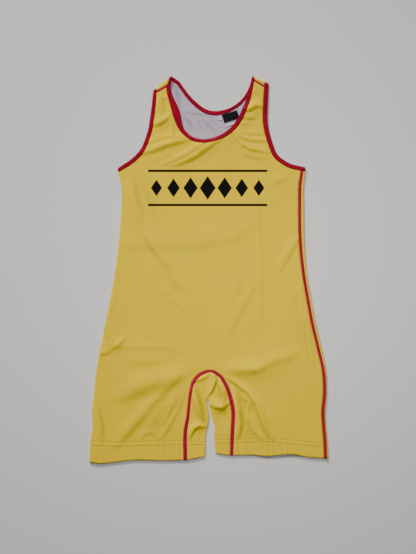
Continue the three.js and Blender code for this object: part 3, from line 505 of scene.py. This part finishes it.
# Each row gives a crease's fields in order: line, height, gentle, steep and, unless it is the right, side.
CREASES = tuple(Crease(*row) for row in (
    # Buckles of the left strap, then of the right
    (((-121, 318), (-106, 325), (-90, 335)), 2.4, 8, 4.6),
    (((-104, 384), (-107, 366), (-102, 350), (-106, 338)), 1.7, 7, 4, Side.LEFT),
    (((-101, 379), (-93, 376)), 1.1, 5, 3),
    (((-82, 322), (-80, 308), (-79, 294)), 1.6, 6, 3.5, Side.LEFT),
    (((80, 352), (92, 356), (104, 363), (119, 359)), 3.1, 9, 5),
    (((74, 335), (88, 334), (104, 336)), 1.5, 7, 3.6),
    (((72, 324), (84, 319)), 1.2, 6, 3.4),
    (((98, 388), (104, 398)), 0.9, 6, 4, Side.LEFT),
    # Fan from the right of the neckline
    (((56, 301), (64, 287), (75, 275), (92, 266), (112, 262), (134, 258)), 1.7, 8, 3.8),
    (((62, 302), (76, 291), (92, 286), (110, 285), (126, 284)), 1.9, 8, 3.8),
    (((70, 306), (88, 300), (120, 299)), 1.2, 6, 3.4),
    (((60, 275), (78, 256), (104, 248), (132, 247)), 0.9, 9, 5),
    # Left of the chest
    (((-150, 256), (-121, 265), (-96, 276), (-70, 283), (-40, 288)), 2.3, 11, 6),
    (((-137, 279), (-110, 289), (-88, 295), (-58, 293)), 1.2, 8, 4),
    (((-100, 232), (-71, 245), (-46, 258), (-24, 273), (-4, 284)), 1.6, 8, 4.2),
    (((-77, 230), (-50, 241), (-30, 251), (-10, 266), (10, 279), (26, 286)), 2.2, 9, 5),
    (((-120, 240), (-95, 252), (-68, 262)), 0.8, 9, 6),
    # Drags down the left side, down the right, the laundry line, the waist and the right edge
    (((-172, 205), (-168, 165), (-158, 135), (-149, 108)), 2.0, 12, 6.5, Side.LEFT),
    (((-162, 208), (-147, 170), (-133, 135), (-120, 98)), 1.1, 11, 6, Side.LEFT),
    (((-141, 84), (-122, 52), (-100, 24), (-80, 0)), 1.5, 13, 6),
    (((-84, -6), (-68, -30), (-52, -50)), 0.9, 12, 7),
    (((-104, -40), (-82, -62), (-58, -80), (-36, -98)), 0.7, 11, 6),
    (((198, 74), (180, 46), (166, 20), (153, -4)), 1.3, 11, 5.5, Side.LEFT),
    (((104, -30), (82, -60), (66, -92), (52, -120), (38, -150)), 0.9, 12, 6.5, Side.LEFT),
    (((72, -10), (60, -40), (44, -82)), 0.6, 12, 8, Side.LEFT),
    (((106, 170), (109, 100), (113, 40), (113, -4), (114, -50), (116, -112)), 0.9, 6, 3.4, Side.LEFT),
    (((-192, 56), (-90, 60), (0, 64), (52, 74), (102, 104)), 0.8, 26, 11),
    (((136, 189), (155, 197), (174, 210)), 1.0, 10, 6),
    (((210, -90), (217, -130), (221, -170), (227, -212)), 2.2, 7, 4),
    (((198, -60), (206, -105), (208, -150)), 1.3, 8, 5),
    (((-206, -40), (-212, -70), (-220, -104)), 1.0, 8, 5),
    # Left hip and lap
    (((-212, -174), (-199, -163), (-185, -149)), 1.7, 5, 4),
    (((-243, -184), (-230, -183), (-216, -176)), 1.4, 6, 4.5),
    (((-222, -112), (-219, -138), (-213, -164)), 1.5, 9, 5),
    (((-206, -168), (-150, -170), (-110, -170), (-80, -173), (-58, -183)), 0.8, 9, 4.5),
    (((-176, -199), (-140, -195), (-100, -196)), 0.9, 18, 12),
    (((-200, -280), (-160, -262), (-130, -251), (-99, -241), (-70, -233), (-46, -224)), 1.7, 20, 13),
    # Right lap
    (((40, -219), (70, -218), (114, -217)), 1.9, 15, 10),
    (((104, -220), (130, -204), (150, -195), (171, -192), (195, -178)), 1.1, 15, 9),
    (((104, -176), (118, -186), (132, -200)), 0.8, 6, 4),
    # Left thigh
    (((-204, -384), (-176, -350), (-153, -324), (-131, -296), (-102, -266), (-72, -240)), 2.2, 14, 9),
    (((-102, -340), (-86, -308), (-68, -276)), 1.4, 9, 5),
    (((-80, -330), (-68, -302), (-58, -276)), 1.0, 7, 5),
    (((-108, -372), (-90, -346), (-78, -320)), 1.3, 8, 5),
    (((-152, -374), (-140, -359), (-124, -357), (-110, -368)), 0.8, 6, 4),
    (((-254, -296), (-246, -314), (-239, -342), (-236, -378)), 2.6, 7, 4.5, Side.LEFT),
    # Right thigh
    (((42, -238), (64, -252), (88, -270), (106, -296), (117, -329), (126, -352), (138, -370)), 3.4, 9, 4.2),
    (((56, -262), (60, -290), (64, -316), (67, -340), (64, -366)), 4.4, 8, 6.5, Side.LEFT),
    (((76, -276), (88, -292), (84, -312)), 2.0, 6, 4),
    (((92, -330), (100, -352), (114, -372)), 1.8, 7, 4.5),
    # Inner legs
    (((-38, -256), (-29, -284), (-21, -308), (-14, -328)), 3.8, 8, 6, Side.LEFT),
    (((-42, -368), (-33, -349), (-22, -342), (-8, -345)), 2.6, 8, 3.6),
    (((-34, -246), (-16, -240), (-2, -233)), 1.8, 6, 3.2),
    (((11, -222), (15, -242), (8, -262), (-3, -279)), 2.8, 7, 2.8, Side.LEFT),
    (((20, -238), (28, -260), (32, -280), (28, -296)), 2.8, 9, 4),
    (((0, -292), (14, -299), (28, -301), (46, -291)), 3.0, 15, 5.2),
    (((45, -332), (45, -352), (43, -378)), 1.5, 16, 4.5, Side.LEFT),
))

# Low enough to stay clear of the layer above. Their troughs get painted shade, and the first, broad one
# paints the strap's shadow on the lining.
LINING_CREASES = tuple(Crease(*row) for row in (
    # Painted shadow of the strap on the lining
    (((-86, 410), (-80, 384), (-73, 352)), 1.0, 6, 8, Side.LEFT),
    (((-58, 349), (-36, 347), (-12, 344), (12, 338)), 0.9, 8, 2.6),
    (((-60, 340), (-50, 326), (-43, 308)), 1.0, 9, 3.4, Side.LEFT),
    (((-54, 338), (-36, 326), (-27, 306)), 0.9, 8, 3),
    (((-30, 340), (-16, 322), (-8, 302)), 0.9, 8, 3),
    (((-14, 336), (4, 320), (16, 303)), 1.0, 8, 3),
    (((0, 338), (16, 325)), 0.7, 6, 2.6),
))


@dataclass(frozen=True)
class Hem:
    """The hem of one leg: its edge and its two rows of stitches, from left to right. Millimetres."""

    edge: Line
    upper_row: Line
    lower_row: Line

    @staticmethod
    def height(line: Line, x: Array) -> Array:
        """A line's Y at each X."""
        return np.interp(x, *np.transpose(line))


LEFT_HEM = Hem(
    edge=(
        (-266, -422), (-236, -426), (-210, -423), (-165, -418),
        (-108, -419), (-50, -418), (-28, -416), (-8, -409),
    ),
    upper_row=((-262, -376), (-200, -379), (-130, -377), (-57, -376.5), (-12, -377.5)),
    lower_row=((-262, -386), (-200, -389), (-130, -386.5), (-57, -385), (-12, -384.5)),
)
RIGHT_HEM = Hem(
    edge=(
        (11, -402), (32, -407), (99, -407), (126, -410),
        (152, -408), (180, -406), (220, -412), (266, -415),
    ),
    upper_row=((11, -373.5), (59, -373), (95, -371), (139, -370), (187, -375), (262, -381.5)),
    lower_row=((11, -381), (59, -381), (95, -379), (139, -378), (187, -383), (262, -390)),
)


@dataclass(frozen=True)
class Drape:
    """The relief of the upper layer, the same for every piece that lies in it. Millimetres."""

    ripple_pitches: tuple[float, float, float] = (10.3, 14.9, 7.7)
    ripple_mm: tuple[float, float] = (0.3, 1.5)  # everywhere, and added where the hem is gathered
    gathered_at: Line = ((154, 26), (70, 12), (-70, 22), (-112, 9))  # X and reach
    wander: tuple[float, float, float] = (2.5, 31.0, 0.1)  # a wave's height, its length over 2 pi, a slant
    hem_margin: float = 7.0  # how far the ripples run on past the hem
    hem_step: tuple[float, float] = (0.4, 4.0)  # height and width of the step down where the hem ends
    swell_mm: float = 0.34
    fine_swell_mm: float = 0.09
    slack_mm: float = 0.85
    slack_over_label_mm: float = 0.1
    label_mm: tuple[float, float, float] = (48.0, 337.0, 34.0)  # its middle and reach

    def lift(self, places: Array) -> Array:
        """Lift of points of any piece: the drape in the upper layer, and small creases inside the neckline.

        Args:
            places: Rows of X, Y and Z in millimetres, on the flat pieces.

        Returns:
            Lift in millimetres.
        """
        x, y, z = places.T
        above = sum(crease.measure(x, y)[0] for crease in CREASES)
        above = above + self.puckers(x, y) + self.unevenness(x, y)
        at_x, at_y, reach = self.label_mm
        over_label = np.clip(2 - np.hypot(x - at_x, y - at_y) / reach, 0, 1)
        slack = self.slack_mm + (self.slack_over_label_mm - self.slack_mm) * over_label
        inside = sum(crease.measure(x, y)[0] for crease in LINING_CREASES)
        low, high = LAYER_SPLIT_MM
        share = np.clip((z - low) / (high - low), 0, 1)
        inner = np.maximum(inside, 0) * (1 - share) * (z > RESTING_MM)
        return np.maximum(above, -slack) * share + inner

    def painted_shade(self, places: Array) -> Array:
        """How much painted shade a place gets in the creases of its own layer.

        Args:
            places: Rows of X, Y and Z in millimetres.

        Returns:
            0 on open cloth, up to 1 in the deepest trough.
        """
        x, y, z = places.T
        above = np.clip(sum(crease.measure(x, y)[1] for crease in CREASES), 0, 1)
        inside = np.clip(sum(crease.measure(x, y)[1] for crease in LINING_CREASES), 0, 1)
        return np.where(z > LAYER_SPLIT_MM[1], above, inside)

    def puckers(self, x: Array, y: Array) -> Array:
        """Small upright ripples that the twin stitching gathers, and the step down where the hem ends.

        Args:
            x: In millimetres.
            y: In millimetres.

        Returns:
            Lift in millimetres.
        """
        lift = np.zeros(x.shape)
        sway, length, slant = self.wander
        even, more = self.ripple_mm
        height, width = self.hem_step
        for hem, near in ((LEFT_HEM, x < LEGS_PART_MM), (RIGHT_HEM, x >= LEGS_PART_MM)):
            row, edge = hem.height(hem.upper_row, x), hem.height(hem.edge, x)
            middle, reach = (row + edge) / 2, (row - edge) / 2 + self.hem_margin
            band = np.clip(1 - ((y - middle) / reach) ** 2, 0, 1)
            wander = sway * np.sin(x / length) + slant * (y - middle)
            ripple = sum(np.sin(2 * np.pi * (x + wander) / pitch) for pitch in self.ripple_pitches) / 3
            gather = even + sum(more * np.exp(-(((x - at) / far) ** 2)) for at, far in self.gathered_at)
            step = height * np.clip((row - y) / width + 0.5, 0, 1)
            lift = lift + np.where(near, band * ripple * gather + step, 0)
        return lift

    def unevenness(self, x: Array, y: Array) -> Array:
        """Very soft swells of cloth that was smoothed out by hand.

        Args:
            x: In millimetres.
            y: In millimetres.

        Returns:
            Lift in millimetres.
        """
        # No wave's length is a multiple of another's, so that no pattern repeats.
        swell = np.sin(x / 37 + 1.3 * np.sin(y / 61)) * np.sin(y / 47 + 0.9 * np.sin(x / 53))
        fine = np.sin(x / 14 + y / 33 + 2 * np.sin(y / 29)) * np.sin(y / 23 - x / 41)
        return self.swell_mm * swell + self.fine_swell_mm * fine


DRAPE = Drape()


def solid_of(node: str) -> BMesh:
    """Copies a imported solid.

    Args:
        node: The solid's name.

    Returns:
        A mesh of the solid, with its loose triangles joined.
    """
    bm = bmesh.new()
    bm.from_mesh(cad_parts[node].data)
    bmesh.ops.remove_doubles(bm, verts=bm.verts, dist=MERGE)
    return bm


def add_piece(name: str, bm: BMesh, finishes: list[Finish], node: str | None = None) -> Object:
    """Makes a shaped mesh a visible piece.

    Args:
        name: The piece's name.
        bm: Its mesh, which is freed.
        finishes: Its finishes, in the order of its faces' material numbers.
        node: The solid that it stands for, if any.

    Returns:
        The new object.
    """
    mesh = bpy.data.meshes.new(name)
    for finish in finishes:
        mesh.materials.append(finish.material())
    bm.to_mesh(mesh)
    bm.free()
    piece = place_in_scene(name, mesh)
    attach(piece, "root")
    if node:
        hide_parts(node)
    log.info("%s: %d triangles", name, sum(len(face.vertices) - 2 for face in mesh.polygons))
    return piece


@dataclass
class Rail:
    """A line that runs along a trim where its top meets a rounded edge."""

    TOP_Z = 0.85  # the top looks up at least this squarely
    TURN = (0.35, 1.2)  # radians between the top and the edge

    points: list[Vector]
    inward: list[Vector]  # from each point towards the middle of the trim

    def spaced(self, pitch: float, inset: float) -> list[tuple[Vector, Vector]]:
        """Places at even distances along the line, moved inward.

        Args:
            pitch: Distance between places.
            inset: How far they are moved.

        Returns:
            Each place with the direction of the line there.
        """
        moved = [p + n * inset for p, n in zip(self.points, self.inward)]
        places, left_over = [], pitch / 2
        for start, end in zip(moved, moved[1:]):
            length = (end - start).length
            if length == 0:
                continue
            ahead = (end - start) / length
            while left_over < length:
                places.append((start + ahead * left_over, ahead))
                left_over += pitch
            left_over -= length
        return places


def rails_of(node: str) -> list[Rail]:
    """Finds the lines along the top of a trim.

    Args:
        node: The trim's name.

    Returns:
        Its rails, longest first.
    """
    bm = solid_of(node)
    bm.normal_update()
    links: dict[int, list[int]] = {}
    inward: dict[int, Vector] = {}
    for edge in bm.edges:
        top, slope = sorted(edge.link_faces, key=lambda face: -face.normal.z)
        if top.normal.z < Rail.TOP_Z or not Rail.TURN[0] < top.normal.angle(slope.normal) < Rail.TURN[1]:
            continue
        a, b = edge.verts
        across = top.normal.cross(b.co - a.co).normalized()
        if across.dot(top.calc_center_median() - a.co) < 0:
            across.negate()
        for vertex, other in ((a, b), (b, a)):
            links.setdefault(vertex.index, []).append(other.index)
            inward[vertex.index] = inward.get(vertex.index, Vector()) + across
    bm.verts.ensure_lookup_table()
    rails, unused = [], set(links)
    while unused:
        start = next((i for i in sorted(unused) if len(links[i]) == 1), min(unused))
        chain = [start]
        unused.discard(start)
        while ahead := [i for i in links[chain[-1]] if i in unused]:
            chain.append(ahead[0])
            unused.discard(ahead[0])
        if len(chain) > 1:
            points = [bm.verts[i].co.copy() for i in chain]
            rails.append(Rail(points, [inward[i].normalized() for i in chain]))
    bm.free()
    return sorted(rails, key=lambda rail: -len(rail.points))


@dataclass
class Rounding:
    """Takes the corners out of the trims' outlines, which are runs of straight spans. Millimetres.

    Whatever lies near a trim is moved sideways, from its nearest span on to a smooth curve through the ends
    of the spans. So a trim, the cloth beside it and the stitches on it stay together.
    """

    reach: float = 8.0  # the full move; it fades out over as much again
    corner: float = 0.6  # radians: a sharper turn is a real corner
    spans: Array = field(default=None, init=False)  # rows of a span's start, its run and its two bends

    def __post_init__(self) -> None:
        """Finds the spans of every trim."""
        rows = []
        for rail in sum(map(rails_of, BINDINGS + SEAMS), []):
            points = np.array([point.xy for point in rail.points]) / MM
            for i in range(1, len(points) - 2):
                before, start, end, after = points[i - 1 : i + 3]
                ways = [math.atan2(*(b - a)) for a, b in ((before, start), (start, end), (end, after))]
                turns = [abs(math.remainder(b - a, 2 * math.pi)) for a, b in zip(ways, ways[1:])]
                if max(turns) <= self.corner:
                    run = end - start
                    left = np.array((-run[1], run[0])) / np.hypot(*run)
                    # How far the points before and after lie off the span bends its curve.
                    rows.append((*start, *run, left @ (before - start), left @ (after - start)))
        self.spans = np.array(rows)

    def shift(self, places: Array) -> Array:
        """Finds how far places are moved.

        Args:
            places: Rows of X and Y.

        Returns:
            Rows of X and Y to be added.
        """
        starts, runs, bends = np.split(self.spans, 3, axis=1)
        squares = (runs**2).sum(axis=1)
        off = places[:, None] - starts
        share = np.clip((off * runs).sum(axis=2) / squares, 0, 1)
        away = np.hypot(*np.moveaxis(off - share[..., None] * runs, 2, 0))
        nearest = away.argmin(axis=1)
        rows = np.arange(len(places))
        s, (a, b) = share[rows, nearest], bends[nearest].T
        # The height of a Catmull-Rom curve off its span
        bulge = 0.5 * (-a * s + (2 * a - b) * s**2 + (b - a) * s**3)
        run = runs[nearest]
        left = np.stack((-run[:, 1], run[:, 0]), axis=1) / np.sqrt(squares[nearest])[:, None]
        weight = np.clip(2 - away[rows, nearest] / self.reach, 0, 1)
        return left * (bulge * weight)[:, None]


ROUNDING = Rounding()


def lay_on_drape(bm: BMesh) -> None:
    """Rounds a flat piece's outline beside the trims and lifts it by the drape.

    Args:
        bm: The piece's mesh.
    """
    places = np.array([v.co for v in bm.verts]) / MM
    chunks = np.array_split(places[:, :2], len(places) // CHUNK + 1)
    places[:, :2] += np.concatenate([ROUNDING.shift(chunk) for chunk in chunks])
    places[:, 2] += DRAPE.lift(places)
    for vertex, place in zip(bm.verts, places):
        vertex.co = place * MM


@dataclass
class ClothPiece:
    """A piece of cloth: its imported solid, refined, smoothed and creased."""

    node: str
    finish: Finish
    lining: Finish | None = None
    cuts: int = 4
    smoothing: int = 6
    broad_z: float = 0.9  # a broad face looks up or down at least this squarely
    lining_z: float = 0.5  # and a face of the lining

    def build(self) -> Object:
        """Makes the piece and lets it stand for its solid.

        Returns:
            The new object.
        """
        bm = solid_of(self.node)
        bmesh.ops.subdivide_edges(bm, edges=bm.edges, cuts=self.cuts, use_grid_fill=True)
        self.soften(bm)
        self.dress(bm)
        lay_on_drape(bm)
        finishes = [self.finish, self.lining] if self.lining else [self.finish]
        piece = add_piece(self.node + "_cloth", bm, finishes, self.node)
        self.measure(piece.data)
        return piece

    def soften(self, bm: BMesh) -> None:
        """Rounds the facets of the broad faces, and leaves rolls and cut edges as they are.

        Args:
            bm: The piece's mesh.
        """
        bm.normal_update()
        steep = {v for v in bm.verts if abs(v.normal.z) < self.broad_z}
        ring = {e.other_vert(v) for v in steep for e in v.link_edges}
        broad = [v for v in bm.verts if v not in steep and v not in ring]
        for _ in range(self.smoothing):
            bmesh.ops.smooth_vert(bm, verts=broad, factor=0.5, use_axis_z=True)

    def measure(self, mesh: bpy.types.Mesh) -> None:
        """Stores where each point lies across its leg's two rows of hem stitches, and how much painted shade
        it gets in the creases.

        Args:
            mesh: The finished mesh.
        """
        places = np.empty(len(mesh.vertices) * 3)
        mesh.vertices.foreach_get("co", places)
        places = places.reshape(-1, 3) / MM
        x, y = places[:, :2].T
        across = []
        for hem in (LEFT_HEM, RIGHT_HEM):
            upper, lower = hem.height(hem.upper_row, x), hem.height(hem.lower_row, x)
            across.append((y - upper) / (upper - lower))
        rows = mesh.attributes.new(HemStitching.field, "FLOAT", "POINT")
        rows.data.foreach_set("value", np.where(x < LEGS_PART_MM, *across).astype(np.float32))
        painted_shade = mesh.attributes.new(PAINTED_SHADE_FIELD, "FLOAT", "POINT")
        painted_shade.data.foreach_set("value", DRAPE.painted_shade(places).astype(np.float32))

    def dress(self, bm: BMesh) -> None:
        """Gives the faces their finishes: the lining is whatever faces into the garment.

        Args:
            bm: The piece's mesh, before it is creased.
        """
        bm.normal_update()
        for face in bm.faces:
            face.smooth = True
            upper = face.calc_center_median().z > LAYER_SPLIT_MM[0] * MM
            inward = face.normal.z < -self.lining_z if upper else face.normal.z > self.lining_z
            face.material_index = int(bool(self.lining) and inward)


@dataclass
class Panels:
    """The front and the back of the singlet."""

    knit: DyedKnit = DyedKnit("interlock_knit_yellow", "knit", "F2C400", "FFDC00")
    printed_knit: DyedKnit = replace(knit, name="interlock_knit_printed", printed=PrintedBand())
    lining: UndyedKnit = UndyedKnit("interlock_knit_undyed", "knit", "B9ABB7", "D0C2CD", relief=0.05)

    flat: tuple[float, float] = (0.53, 0.86)  # metres
    front_area: float = 0.303  # square metres
    back_area: float = 0.338

    def build(self) -> tuple[Object, Object]:
        """Makes both panels.

        Returns:
            The front and the back.
        """
        front = ClothPiece("front_panel", self.printed_knit, self.lining).build()
        back = ClothPiece("back_panel", self.knit, self.lining).build()
        return front, back


@dataclass
class Trims:
    """Bindings and flatlock seams."""

    tape: FoldedTape = FoldedTape("fold_over_tape", "binding", "84001C", "A8002C", roughness=0.6)
    thread: SewingThread = SewingThread("flatlock_thread", "thread", "9A0430", "B80A40", relief=0.2)

    def build(self) -> list[Object]:
        """Makes every trim.

        Returns:
            The trims.
        """
        made_of = [(node, self.tape) for node in BINDINGS] + [(node, self.thread) for node in SEAMS]
        return [ClothPiece(node, finish, cuts=3, smoothing=0).build() for node, finish in made_of]


@dataclass
class Stitching:
    """Thread on the trims: two needle rows on each binding, and a ladder over each flatlock seam.

    Lengths are in metres. A stitch is a short bead of thread, pressed into the cloth.
    """

    binding_thread: SewingThread = SewingThread("binding_thread", "thread", "7E0014", "9C0022", relief=0.05)
    seam_thread: SewingThread = SewingThread("ladder_thread", "thread", "AC1044", "C82858", relief=0.05)
    pitch: float = 3.0 * MM
    stitch: tuple[float, float, float] = (2.3 * MM, 0.75 * MM, 0.5 * MM)
    row_inset: float = 0.9 * MM
    ladder_pitch: float = 2.2 * MM
    ladder_thread: tuple[float, float] = (0.8 * MM, 0.5 * MM)
    ladder_slant: float = 0.5  # of a pitch
    ladder_share: float = 0.96  # of the band's width
    narrow: float = 4 * MM  # a ladder's width where the band has only one rail
    wide: float = 6 * MM  # and its greatest width

    def rows(self, node: str) -> Object:
        """Sews the needle rows of a binding.

        Args:
            node: The binding's name.

        Returns:
            The row of stitches as one piece.
        """
        bm = bmesh.new()
        for rail in rails_of(node):
            for place, ahead in rail.spaced(self.pitch, self.row_inset):
                self.bead(bm, place, ahead, self.stitch)
        return self.finish(bm, node + "_stitches", self.binding_thread)

    def ladder(self, node: str) -> Object:
        """Sews the threads that cross a flatlock seam, slanted from one edge to the other.

        Args:
            node: The seam's name.

        Returns:
            The threads as one piece.
        """
        bm = bmesh.new()
        rail, *others = rails_of(node)
        middle = rail.points[len(rail.points) // 2]
        widths = [(middle - point).length for point in others[0].points] if others else [self.narrow]
        width = min(*widths, self.wide)
        for place, ahead in rail.spaced(self.ladder_pitch, width / 2):
            across = ahead.cross(Vector((0, 0, 1))).normalized()
            slanted = (across * width + ahead * self.ladder_pitch * self.ladder_slant).normalized()
            self.bead(bm, place, slanted, (width * self.ladder_share, *self.ladder_thread))
        return self.finish(bm, node + "_ladder", self.seam_thread)

    def bead(self, bm: BMesh, place: Vector, ahead: Vector, size: tuple[float, float, float]) -> None:
        """Adds one stitch.

        Args:
            bm: The mesh that takes it.
            place: Its middle, on the flat trim.
            ahead: The direction that it points.
            size: Length, width and height.
        """
        side = Vector((0, 0, 1)).cross(ahead).normalized()
        up = ahead.cross(side)
        turn = Matrix((ahead, side, up)).transposed().to_4x4()
        matrix = Matrix.Translation(place) @ turn @ Matrix.Diagonal((*(length / 2 for length in size), 1))
        bmesh.ops.create_icosphere(bm, subdivisions=1, radius=1, matrix=matrix)

    def finish(self, bm: BMesh, name: str, thread: SewingThread) -> Object:
        """Lays the stitches on the drape and makes them one piece.

        Args:
            bm: The stitches.
            name: The piece's name.
            thread: Their finish.

        Returns:
            The new object.
        """
        lay_on_drape(bm)
        for face in bm.faces:
            face.smooth = True
        return add_piece(name, bm, [thread])

    def build(self) -> list[Object]:
        """Sews every trim.

        Returns:
            The rows of stitches.
        """
        return [self.rows(node) for node in BINDINGS] + [self.ladder(node) for node in SEAMS]


@dataclass
class Label:
    """A blank label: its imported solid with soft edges, a woven border and a slight wave. Millimetres."""

    node: str
    finish: WovenLabel
    edge: float = 0.3
    border: float = 1.6
    border_slope: float = 0.2
    border_depth: float = 0.12
    rim_turn: float = 1.2  # radians: a sharper edge is the rim
    flat_turn: float = 0.01  # radians: a weaker edge is none
    long_edge: float = 3.0  # longer edges are cut up, so that they can wave
    wave_cuts: int = 11
    wave: float = 0.18
    wave_length: float = 23.0
    flat_area: float = 5.4  # square millimetres: larger faces are shaded flat

    def build(self) -> Object:
        """Makes the label and lets it stand for its solid.

        Returns:
            The new object.
        """
        bm = solid_of(self.node)
        bmesh.ops.dissolve_limit(bm, angle_limit=self.flat_turn, verts=bm.verts, edges=bm.edges)
        top = max(bm.faces, key=lambda face: face.calc_center_median().z * face.normal.z)
        for width, depth in ((self.border, 0.0), (self.border_slope, -self.border_depth)):
            bmesh.ops.inset_region(bm, faces=[top], thickness=width * MM, depth=depth * MM)
        rim = [edge for edge in bm.edges if edge.is_manifold and edge.calc_face_angle() > self.rim_turn]
        offset = self.edge * MM
        bmesh.ops.bevel(bm, geom=rim, offset=offset, affect="EDGES", segments=3, profile=0.5, material=-1)
        long_edges = [edge for edge in bm.edges if edge.calc_length() > self.long_edge * MM]
        bmesh.ops.subdivide_edges(bm, edges=long_edges, cuts=self.wave_cuts, use_grid_fill=True)
        for vertex in bm.verts:
            vertex.co.z += self.wave * MM * math.sin(vertex.co.x / MM / self.wave_length * 2 * math.pi)
        for face in bm.faces:
            face.smooth = face.calc_area() < self.flat_area * MM**2
        return add_piece(self.node + "_cloth", bm, [self.finish], self.node)


@dataclass
class Labels:
    """The neck label, the care label and the size tab at the back neck, all blank."""

    black: WovenLabel = WovenLabel("damask_black", "black_label", "0B0A0E", "141218", roughness=0.5)
    pale: WovenLabel = WovenLabel("satin_pale", "pale_label", "CFC8D0", "E0DAE0", roughness=0.45, relief=0.06)

    def build(self) -> list[Object]:
        """Makes the three labels.

        Returns:
            The labels.
        """
        return [
            Label("neck_label", self.black).build(),
            Label("care_label", self.pale, wave=0.1).build(),
            Label("size_tab", self.pale, border=0.8, wave=0.05).build(),
        ]


@dataclass(frozen=True)
class Lamp:
    """A soft square light that faces the garment's middle. Metres and watts."""

    name: str
    place: tuple[float, float, float]
    size: float
    power: float

    def hang(self) -> None:
        """Adds the light."""
        lamp = bpy.data.lights.new(self.name, "AREA")
        lamp.size, lamp.energy = self.size, self.power
        made = place_in_scene(self.name, lamp)
        made.location = self.place
        made.rotation_euler = (-Vector(self.place)).to_track_quat("-Z", "Y").to_euler()


@dataclass
class Studio:
    """Floor, lights and the camera straight above."""

    key: Lamp = Lamp("key", (-3.0, 6.6, 3.1), 1.6, 790.0)
    fill: Lamp = Lamp("fill", (0.1, -0.02, 0.8), 0.5, 3.2)
    surround: tuple[str, float] = ("F2F4F8", 0.12)  # colour and strength
    floor_colour: str = "E8E6E2"
    floor_size: float = 12.0
    floor_drop: float = 0.05 * MM  # keeps it clear of the cloth's underside
    height: float = 3.0

    def build(self) -> None:
        """Makes the stage."""
        self.floor()
        self.key.hang()
        self.fill.hang()
        self.world()
        self.camera()

    def floor(self) -> None:
        """Makes the pale floor just below the garment."""
        bm = bmesh.new()
        bmesh.ops.create_grid(bm, x_segments=1, y_segments=1, size=self.floor_size / 2)
        bmesh.ops.translate(bm, verts=bm.verts, vec=(0, 0, -self.floor_drop))
        mesh = bpy.data.meshes.new("floor")
        bm.to_mesh(mesh)
        bm.free()
        material = bpy.data.materials.new("painted_floor")
        material.use_nodes = True
        shader = material.node_tree.nodes["Principled BSDF"]
        shader.inputs["Base Color"].default_value = linear(self.floor_colour)
        shader.inputs["Roughness"].default_value = 0.9
        mesh.materials.append(material)
        place_in_scene("floor", mesh)

    def world(self) -> None:
        """Sets an even, dim surround."""
        world = bpy.data.worlds.new("surround")
        world.use_nodes = True
        background = world.node_tree.nodes["Background"]
        background.inputs["Color"].default_value = linear(self.surround[0])
        background.inputs["Strength"].default_value = self.surround[1]
        bpy.context.scene.world = world

    def camera(self) -> None:
        """Sets the camera straight above, framed as the picture is."""
        data = bpy.data.cameras.new("camera")
        # The sensor's width is the picture's long side.
        data.lens = data.sensor_width * self.height / (max(PICTURE) * MM_PER_PIXEL * MM)
        camera = place_in_scene("camera", data)
        camera.location = (PICTURE_CENTRE_MM[0] * MM, PICTURE_CENTRE_MM[1] * MM, self.height)
        bpy.context.scene.camera = camera


def main() -> None:
    """Builds the stage and the garment, and reports each piece."""
    logging.basicConfig(level=logging.INFO, format="%(message)s")
    Studio().build()
    panels = Panels()
    panels.build()
    Trims().build() + Stitching().build() + Labels().build()


if __name__ == "__main__":
    main()
